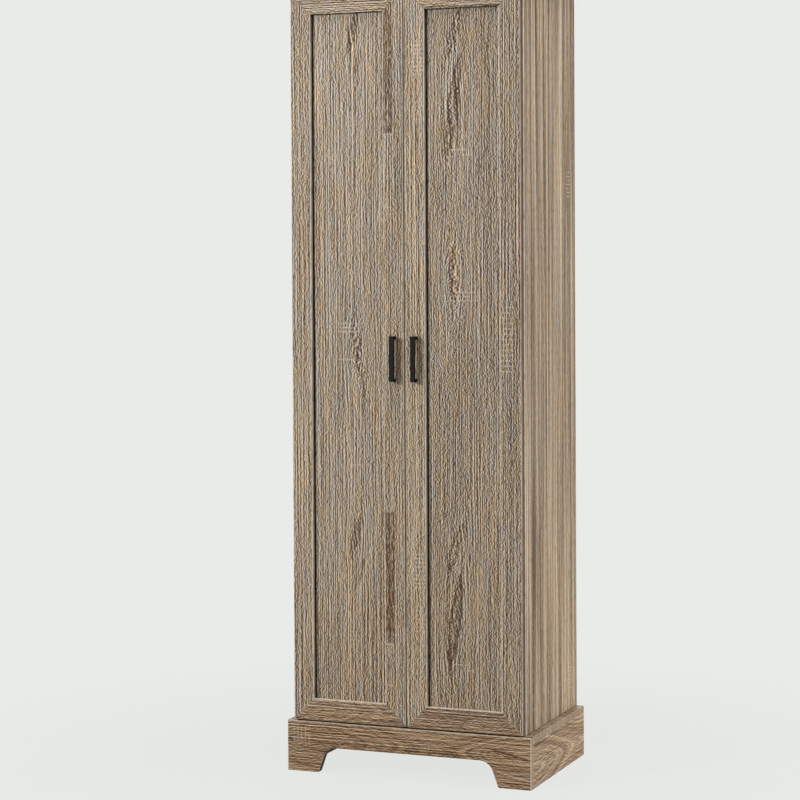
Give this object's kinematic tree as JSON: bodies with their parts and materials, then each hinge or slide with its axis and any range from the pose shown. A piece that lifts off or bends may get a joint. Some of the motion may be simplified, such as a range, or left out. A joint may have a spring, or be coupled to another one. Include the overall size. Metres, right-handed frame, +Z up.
{
  "type": "cupboard",
  "caption": "Tall slim cupboard with frame-and-panel doors on concealed hinges, black bar handles, shelves and a broom bay inside, on an arched bracket plinth.",
  "frame": {"origin": "middle of the bounding box on the floor", "axes": "+Z up, doors face -Y, +X to the right seen from the front"},
  "size_m": [0.6, 0.42, 1.83],
  "materials": {
    "washed_oak": "washed oak grain laminate, matte",
    "thin_board": "thin hardboard, plain",
    "plain_wood": "bare wood",
    "black_metal": "black, satin",
    "plated_steel": "nickel plated",
    "clear_rubber": "translucent, soft"
  },
  "bodies": {
    "carcass": {"back_nails": "plated_steel", "back_panel_lower": "thin_board", "back_panel_upper": "thin_board", "bottom_panel": "washed_oak", "cam_bolts": "plated_steel", "cam_locks": "plated_steel", "door_bumpers": "clear_rubber", "dowels": "plain_wood", "hat_shelf": "washed_oak", "left_hinge_arm_pins": "plated_steel", "left_hinge_arm_screws": "plated_steel", "left_hinge_arms": "plated_steel", "left_hinge_plate_screws": "plated_steel", "left_hinge_plates": "plated_steel", "loose_shelf_1": "washed_oak", "loose_shelf_2": "washed_oak", "loose_shelf_3": "washed_oak", "partition": "washed_oak", "plinth_corner_blocks": "plain_wood", "plinth_front": "washed_oak", "plinth_rear_rail": "washed_oak", "plinth_screws": "plated_steel", "plinth_side_left": "washed_oak", "plinth_side_right": "washed_oak", "right_hinge_arm_pins": "plated_steel", "right_hinge_arm_screws": "plated_steel", "right_hinge_arms": "plated_steel", "right_hinge_plate_screws": "plated_steel", "right_hinge_plates": "plated_steel", "shelf_pins": "plated_steel", "side_panel_left": "washed_oak", "side_panel_right": "washed_oak", "top_board": "washed_oak", "wall_bracket_screws": "plated_steel", "wall_brackets": "plated_steel"},
    "left_door": {"left_door_bottom_rail": "washed_oak", "left_door_meeting_stile": "washed_oak", "left_door_mitre_splines": "plain_wood", "left_door_outer_stile": "washed_oak", "left_door_panel": "washed_oak", "left_door_top_rail": "washed_oak", "left_handle": "black_metal", "left_handle_screws": "plated_steel", "left_hinge_cup_pins": "plated_steel", "left_hinge_cup_screws": "plated_steel", "left_hinge_cups": "plated_steel"},
    "left_links": {"left_hinge_links": "plated_steel"},
    "right_door": {"right_door_bottom_rail": "washed_oak", "right_door_meeting_stile": "washed_oak", "right_door_mitre_splines": "plain_wood", "right_door_outer_stile": "washed_oak", "right_door_panel": "washed_oak", "right_door_top_rail": "washed_oak", "right_handle": "black_metal", "right_handle_screws": "plated_steel", "right_hinge_cup_pins": "plated_steel", "right_hinge_cup_screws": "plated_steel", "right_hinge_cups": "plated_steel"},
    "right_links": {"right_hinge_links": "plated_steel"}
  },
  "joints": [
    {"name": "left_link_turn", "type": "hinge", "parent": "carcass", "child": "left_links", "pos_m": [-0.25, -0.169, 0.9655], "axis": [0, 0, 1], "range_deg": [0, 47.5]},
    {"name": "left_door_swing", "type": "hinge", "parent": "left_links", "child": "left_door", "pos_m": [-0.27, -0.177, 0.9655], "axis": [0, 0, 1], "range_deg": [-142.5, 0]},
    {"name": "right_link_turn", "type": "hinge", "parent": "carcass", "child": "right_links", "pos_m": [0.25, -0.169, 0.9655], "axis": [0, 0, 1], "range_deg": [-47.5, 0]},
    {"name": "right_door_swing", "type": "hinge", "parent": "right_links", "child": "right_door", "pos_m": [0.27, -0.177, 0.9655], "axis": [0, 0, 1], "range_deg": [0, 142.5]}
  ],
  "couplings": [
    {"joint": "left_link_turn", "follows": "left_door_swing", "ratio": -0.33333},
    {"joint": "right_link_turn", "follows": "right_door_swing", "ratio": -0.33333}
  ]
}
